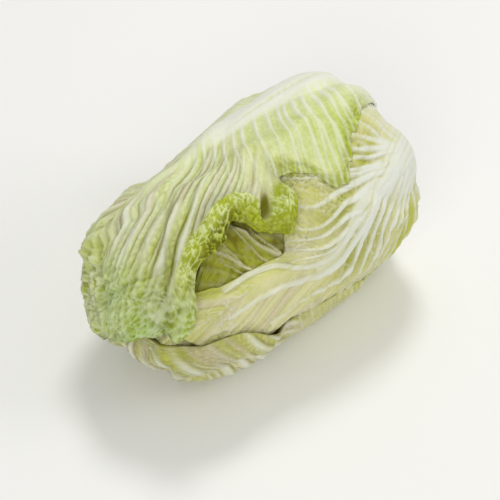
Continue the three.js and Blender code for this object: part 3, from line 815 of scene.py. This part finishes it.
# The ridge of the frill, in mm along and degrees out.
FRILL = [
    (146, 68), (154, 71), (162, 74), (166, 73), (169, 65), (174, 55), (180, 52), (192, 51), (206, 50),
    (220, 53), (238, 62),
]
FRILL_HEIGHT = 8.0
FRILL_WIDTH = 12.0
FRILL_DIP = 173
POCKET = {"along": 165.5, "side": 66, "lean": 50, "length": 8.2, "width": 3.6, "depth": 9}
FRONT_RIBS = [
    (5.6, [(56, 0), (80, 0), (95, -5.5), (106, -7.5), (117, -3), (128, 3), (140, 5.5), (152, 8)]),
    (3.9, [(60, -4), (80, 2), (100, 0), (112, -1.5), (130, -0.3), (140, 1.9), (155, 4.7), (168, 2.5),
           (175, -4), (181, -5.8), (200, -7)]),
    (3.4, [(104, 2), (128, 9), (141, 9.6), (155, 11.3), (170, 10.2), (180, 8), (205, 5)]),
    (2.3, [(84, 0), (92, 1), (105, 3.5), (111, 8), (117, 13), (127, 18), (137, 19), (151, 19.6),
           (168, 23), (190, 25)]),
    (2.4, [(78, 2), (92, 7.5), (101, 10.5), (108, 15), (116, 22), (123, 32), (130, 44), (136, 58)]),
    (2.2, [(72, 6), (87, 12), (93, 14.5), (99, 17.5), (105, 23), (111, 29), (117, 38), (122, 50), (127, 66)]),
    (1.9, [(66, 8), (81, 15.7), (86, 18.5), (93, 21), (99, 24), (105, 30), (110, 40), (115, 58)]),
    (1.7, [(60, 9), (74, 17), (80, 21), (87, 25), (93, 30), (98, 39), (103, 54)]),
    (1.6, [(56, 11), (68, 18), (74, 22), (80, 27), (86, 34), (92, 45)]),
    (1.9, [(58, -1), (63, -5), (71, -18), (82, -31), (92, -44)]),
    (2.0, [(60, -3), (66, -9), (73, -14.6), (79, -19.6), (88, -25.1), (97, -33), (108, -44), (114, -53)]),
    (1.4, [(66, -6), (73, -11.5), (78, -14), (83, -16.6), (92, -23), (100, -30), (112, -42), (120, -52)]),
    (1.2, [(78, -9.5), (86, -13), (91, -15.2), (96, -19.6), (106, -28), (120, -41), (132, -52)]),
    (1.4, [(76, -7), (83, -10), (88, -11.9), (93, -14.1), (98, -18.5), (106, -24), (118, -32),
           (132, -42), (146, -54)]),
    (2.3, [(74, -3), (85, -8), (92, -10.2), (99, -14.6), (106, -18), (116, -19.6), (134, -24),
           (150, -32), (164, -42)]),
    (2.0, [(92, -6), (103, -10.5), (112, -12.6), (124, -12.6), (136, -14), (150, -16.5), (164, -23)]),
    (1.6, [(108, -5), (118, -7.4), (128, -8.2), (138, -9), (152, -11), (168, -15)]),
    (1.3, [(122, -3), (132, -3.4), (146, -4), (158, -6), (172, -12)]),
    (1.2, [(118, 2), (136, -1), (156, -1), (170, -3)]),
]

OUTERMOST = Leaf(
    "leaf_1", [(28, 72), (60, 66), (150, 54), (270, 48)],
    left=[(34, 36), (70, 60), (110, 88), (160, 100), (235, 100)],
    right=[
        (34, 34), (63, 41), (82, 52), (95, 65), (104, 75), (111, 76), (122, 63), (134, 58), (146, 58),
        (150, 75), (157, 81), (166, 85), (171, 82), (177, 76), (183, 64), (189, 59), (216, 58), (245, 74),
    ],
    length=268, fold_over=20, pleat=1,
)
UNDERSIDE = Leaf(
    "leaf_2", [(28, 280), (60, 276), (270, 274)],
    left=[(34, 36), (70, 52), (110, 64), (160, 70), (235, 74)], length=262, fold_over=20, pleat=0.5,
)
FRONT = Leaf(
    "leaf_3", [(28, 140), (60, 143), (85, 148), (110, 156), (140, 161), (168, 158), (192, 152), (270, 146)],
    left=[(34, 34), (60, 46), (140, 52), (158, 24), (172, 8), (192, 8), (240, 20)],
    right=[(34, 32), (63, 29), (75, 38), (88, 56), (108, 72), (150, 76), (235, 78)],
    length=258, fold_over=20, pleat=0.8,
)


def outer_green(place, leaf):
    from_margin = -leaf.beyond(place)
    patchy = 0.2 * wander(place.across / 12, place.along / 20, leaf.seed + 8)
    return 0.25 + patchy + 0.4 * smooth(24, 0, from_margin) + 0.3 * smooth(185, 245, place.along)


def outermost_green(place, leaf):
    along, across, lane = place.along, place.across, lanes(place)
    near_butt = patch(along, across, (78, 54), (30, 22))
    middle = 0.14 * smooth(62, 80, along) * smooth(170, 120, along) * smooth(14, 48, across)
    streaks = 0.05 + 0.35 * wander(lane / 12, along / 40, 31) + 0.25 * wander(lane / 3, along / 50, 33)
    streaks = streaks * smooth(120, 160, along)
    tips = 0.35 * smooth(185, 240, along) + 0.3 * smooth(20, 60, across) * smooth(180, 220, along)
    return np.clip(0.08 + 0.32 * near_butt + middle + streaks + tips, 0, 1)


class Frill:
    """The frill at each place: how far away its ridge is, what is outside that, and how much frill, pocket,
    dip beside the pocket and puckers there are."""

    def __init__(self, place):
        along, across = place.along, place.across
        line = [(at, math.radians(degrees) * GIRTH) for at, degrees in FRILL]
        first, last = line[0][0], line[-1][0]
        self.away = away_from(line, along, across)
        self.outside = across > through(line, along)
        right = smooth(0, 0.2, place.side)
        self.ends = smooth(first - 6, first + 4, along) * (1 - 0.7 * smooth(last - 30, last, along)) * right
        lean = math.radians(POCKET["lean"])
        x, y = along - POCKET["along"], across - math.radians(POCKET["side"]) * GIRTH
        long_way = (x * math.cos(lean) + y * math.sin(lean)) / POCKET["length"]
        short_way = (y * math.cos(lean) - x * math.sin(lean)) / POCKET["width"]
        self.pocket = np.exp(-((long_way**2 + short_way**2) ** 3)) * right
        self.dip = np.exp(-(((along - FRILL_DIP) / 8) ** 2))
        inwards = 4.5 - 3.5 * self.dip + 9 * smooth(168, 158, along)
        puckered = self.ends * np.where(self.outside, 1, smooth(inwards, 0.4 * inwards, self.away))
        puckered = puckered * (1 - self.pocket)
        self.puckered = puckered * smooth(0.12, 0.3, puckered)

    def lift(self):
        """It stands up in a ridge, falls again to its edge, and sinks in at the pocket."""
        rising = 0.45 * np.exp(-2 * (self.away / FRILL_WIDTH) ** 2) + 0.55 * np.exp(-((self.away / 4.5) ** 2))
        falling = 1 - 0.6 * smooth(1, 10, self.away)
        height = FRILL_HEIGHT * np.where(self.outside, falling, rising) * (1 - 0.5 * self.dip)
        return np.maximum(height * self.ends - POCKET["depth"] * self.pocket, 0)


def frill_skin(place, frill, values):
    """How high the frill's puckers stand, lacy below. Their colour is painted light: a pale painted highlight
    on the ridge, painted shade deep green between the puckers and on the face past the ridge, darkest in the
    lacy cells, and the pocket painted dark olive as shade.
    """
    along, across, puckered = place.along, place.across, frill.puckered
    shift, slip = 2.6 * wander(across / 4, along / 4, 13), 2.6 * wander(across / 4, along / 4, 18)
    swelling = 0.6 * blisters((across + shift) / 3.6, (along - slip) / 3.6, 11)
    swelling = swelling + 0.4 * blisters((across - slip) / 2.0, (along + shift) / 2.0, 12)
    swelling = swelling * (0.8 + 0.3 * wander(across / 5, along / 5, 14))
    lace = smooth(0.42, 0.06, blisters((across - shift) / 3.4, (along + slip) / 3.4, 16))
    lacy = smooth(176, 188, along) * frill.outside * smooth(0, 4, frill.away)
    swelling = (1 - lacy) * swelling + lacy * (0.8 * lace + 0.2 * swelling)
    # Painted highlight on the crest; painted shade, greener and darker, past the ridge and between the
    # puckers.
    crest = np.exp(-((frill.away / 4) ** 2)) * smooth(0.2, 0.6, swelling)
    past_ridge = frill.outside * smooth(1, 8, frill.away)
    green = 0.5 + 0.2 * wander(across / 6, along / 6, 15) + 0.5 * smooth(0.75, 0.2, swelling)
    green = (green + 0.5 * past_ridge) * (1 - 0.75 * crest)
    shade = 0.32 * smooth(0.4, 0.05, swelling) * (1 - crest)
    shade = shade + past_ridge * (0.3 + 0.5 * lacy) * (1 - 0.9 * swelling)
    painted_shade_and_browning = np.clip(values["painted_shade_and_browning"] * (1 - puckered) + puckered * shade, 0, 1)
    # The pocket is painted dark olive as shade, without white rib.
    values["green"] = np.clip(values["green"] * (1 - puckered) + green * puckered + frill.pocket, 0, 1)
    values["rib"] = values["rib"] * (1 - puckered) * (1 - frill.pocket)
    values["painted_shade_and_browning"] = np.maximum(painted_shade_and_browning, frill.pocket)
    return puckered * (2.0 * swelling + 1.2 * wander(across / 7, along / 7, 19))


def blistered_skin(place, frill, values):
    """The tips are a net of white veins over small blisters, yellow at one rim and fresh green towards the
    other. Painted shade darkens the hollows between the tips' veins, the creases of the margins, the slots
    between the folds and the slope beside the frill. Returns how much of a tip there is, how high that skin
    stands, and the slots between its folds."""
    along, across, smooth_skin = place.along, place.across, 1 - frill.puckered
    shift = 2.6 * wander(across / 4, along / 4, 13)
    savoy = blisters((across + shift) / 4.4, (along - shift) / 3.6, 17)
    tips = smooth(212, 235, along) * (1 - frill.ends)
    margin = smooth(13, 3, -OUTERMOST.beyond(place)) * smooth(165, 140, along) * smooth_skin
    patchy = 0.6 + 0.4 * wander(across / 14, along / 14, 20)
    fresh = 0.4 * patch(along, across, (72, 58), (22, 16))
    fresh = np.maximum(fresh, smooth(214, 244, along) * smooth(-5, 32, across))
    slots = smooth(0.45, 0.8, blisters((lanes(place) + 0.5 * shift) / 3.0, (along + shift) / 8, 21))
    slots = slots * smooth(198, 212, along) * smooth(26, 6, np.abs(across + 6))
    veined = smooth(0.36, 0.08, savoy)
    yellow = smooth(206, 222, along) * smooth(14, -6, across) * smooth(-60, -30, across)
    beside = ~frill.outside * smooth(18, 6, frill.away) * smooth(165, 180, along) * smooth_skin
    # Painted shade: the tips' hollows, the margins' creases, the slots (also greener) and the slope beside
    # the frill.
    folds = 0.55 * tips * smooth(0.65, 1, savoy) + 0.3 * margin * (1 - savoy) + 0.25 * slots + 0.22 * beside
    green = values["green"] * (1 - 0.3 * tips) + 0.5 * margin + 0.6 * slots + 0.3 * yellow
    painted_shade_and_browning = values["painted_shade_and_browning"] * (1 - np.maximum(0.9 * tips, 0.6 * yellow)) + folds
    values["rib"] = np.maximum(values["rib"] * (1 - 0.6 * tips), 0.55 * tips * veined)
    values["green"], values["painted_shade_and_browning"] = np.clip(green, 0, 1), np.clip(painted_shade_and_browning, 0, 1)
    values["deep"] = patchy * fresh * smooth_skin
    values["tan"] = values["tan"] * smooth_skin * smooth(232, 195, along)
    return tips, 1.6 * tips * veined + 0.9 * margin * savoy, slots


def ruffle(place, thickness, values):
    """The outermost leaf's own: its frill with the pocket, and its puckered tips and margins."""
    frill = Frill(place)
    place.lift = frill.lift()
    puckers = frill_skin(place, frill, values)
    tips, crinkled, slots = blistered_skin(place, frill, values)
    return thickness * (1 - 0.3 * tips) + puckers + crinkled - 0.5 * slots


def front_ribs(place, thickness, values):
    """The front leaf's ribs part widely from its midrib and run far down it, with green blade between.
    Painted shade lines the ribs' edges, the flutes' grooves and the hollows between the window's blisters.
    """
    along, across = place.along, place.across
    rib, green, painted_shade_and_browning = values["rib"], values["green"], values["painted_shade_and_browning"]
    ribs = long_ribs(FRONT_RIBS, place)
    between = 1 - ribs
    apart = smooth(66, 95, along)
    lime = 1.4 * patch(along, across, (74, 38), (13, 12))
    dull = 1.3 * patch(along, across, (120, 14), (24, 13))
    dull = dull + 1.3 * patch(along, across, (112, -11), (20, 8))
    dull = dull + 0.9 * patch(along, across, (84, -21), (12, 8))
    window = smooth(-8, -20, across) * smooth(62, 80, along)
    # Painted shade in thin lines along the ribs' edges.
    beside = 0.45 * smooth(0, 0.12, ribs) * smooth(0.5, 0.2, ribs) * smooth(75, 95, along)
    bent = 3.5 * wander(across / 6, along / 6, 44)
    rough = window * between * blisters((across + bent) / 4.6, (along - bent) / 4.2, 47)
    netted = smooth(0.4, 0.06, blisters((across + bent) / 5.5, (along - bent) / 4, 45))
    netted = netted * apart * between * smooth(-0.4, 0.5, wander(across / 11, along / 13, 46))
    low = smooth(125, 165, along)
    flutes = wander((across - 0.2 * along) / 1.6, along / 45, 41)
    rib = np.maximum(np.maximum(rib * (1 - 0.85 * apart), ribs), 0.4 * netted)
    painted_shade_and_browning = np.maximum(0.7 * painted_shade_and_browning + 0.3 * dull, beside) * between
    # Painted shade between the window's blisters.
    painted_shade_and_browning = (painted_shade_and_browning + 0.12 * (window * between - rough)) * (1 - 0.4 * window) * (1 - 0.45 * low)
    # Painted shade in the flutes' grooves: less white rib and some dark colour there.
    values["rib"] = rib * (1 - 0.45 * smooth(0, 0.6, flutes))
    values["green"] = green + 0.5 * (dull + lime) + 0.1 * window + 0.15 * rough - 0.15 * low
    values["painted_shade_and_browning"] = painted_shade_and_browning + 0.09 * ribs * smooth(-0.1, 0.6, flutes)
    thickness = thickness * (1 - 0.25 * apart * between) + 0.9 * netted + 1.1 * rough
    return thickness + (1.4 * smooth(60, 80, along) - 0.45 * flutes) * ribs


lay_leaf(FRONT, INNER_LEAVES, FRONT_SKIN, outer_green, mesh=0.7, shape=front_ribs)
lay_leaf(UNDERSIDE, [FRONT, *INNER_LEAVES], FRONT_SKIN, outer_green, mesh=1.0, tuck=2.0)
lay_leaf(
    OUTERMOST, [UNDERSIDE, FRONT, *INNER_LEAVES], OUTER, outermost_green, mesh=0.8, step=2,
    calm=50, shape=ruffle, tuck=1.5,
)

# ---- The cut stem ----
# The stub of the stem, cut through square with the leaf bases. It is solid and white, woody at the skin and
# a little browned and dried by the air on the cut.

STUB_RADIUS = 23.2
BUNDLE_RING = 0.72


def stub_rings():
    """The stub's rings as x and radius, from the middle of the cut to the middle of the hidden end."""
    start, edge = CORE["butt"] + 0.5, 1.0
    shoulder, flat = CUT_X - edge, STUB_RADIUS - edge
    rings = [(CUT_X, flat * n / 40) for n in range(1, 40)]
    rings += [(shoulder + math.sin(a), flat + math.cos(a)) for a in (math.pi / 2, 1.2, 0.8, 0.4)]
    rings += [(start + (shoulder - start) * n / 8, STUB_RADIUS) for n in range(8, 0, -1)]
    rings += [(start, STUB_RADIUS * n / 6) for n in range(6, 0, -1)]
    return np.array(rings)


def stem():
    rings, spokes = stub_rings(), 160
    angle = np.linspace(0, 2 * math.pi, spokes, endpoint=False)
    x, r = (column[:, None] * np.ones(spokes) for column in rings.T)
    cut = (x > CUT_X - 0.01) * smooth(0, 2, r)
    x = x - 0.35 * cut * (0.5 + 0.5 * wander(r * np.cos(angle) / 3, r * np.sin(angle) / 3, 5))
    r = r * (1 + 0.02 * wander(np.cos(angle) * 3, np.sin(angle) * 3, 6))
    points = np.stack([x, r * np.cos(angle), r * np.sin(angle)], -1).reshape(-1, 3)
    points = np.concatenate([points, [(CUT_X, 0, 0), (rings[-1, 0], 0, 0)]])
    y, z = points[:, 1], points[:, 2]
    depth = np.hypot(y, z) / STUB_RADIUS
    bundles = 0.5 + 0.5 * wander(np.arctan2(y, z) * 7, depth * 3, 8)
    bundles = np.exp(-(((depth - BUNDLE_RING) / 0.06) ** 2)) * bundles
    dried = 0.3 + 0.2 * wander(y / 6, z / 6, 3) + 0.4 * bundles + 0.3 * smooth(0.9, 1, depth)
    brown = np.where(points[:, 0] > CUT_X - 0.6, dried, 0.2)
    values = {
        "rib": 1 - brown, "green": np.full(len(points), 0.1), "painted_shade_and_browning": 0.5 * brown,
        "on_leaf": points[:, [1, 2, 0]],
    }
    colors = {"pale": "#e5e2c4", "green": "#d8d8a8", "rib": "#efeddc", "painted_shade_and_browning": "#b99c62"}
    material = leaf_material("cut_stem", **colors, roughness=0.55)
    piece = new_piece("stem_stub", points, round_faces(len(rings), spokes), material, values)
    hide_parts("stem")


stem()
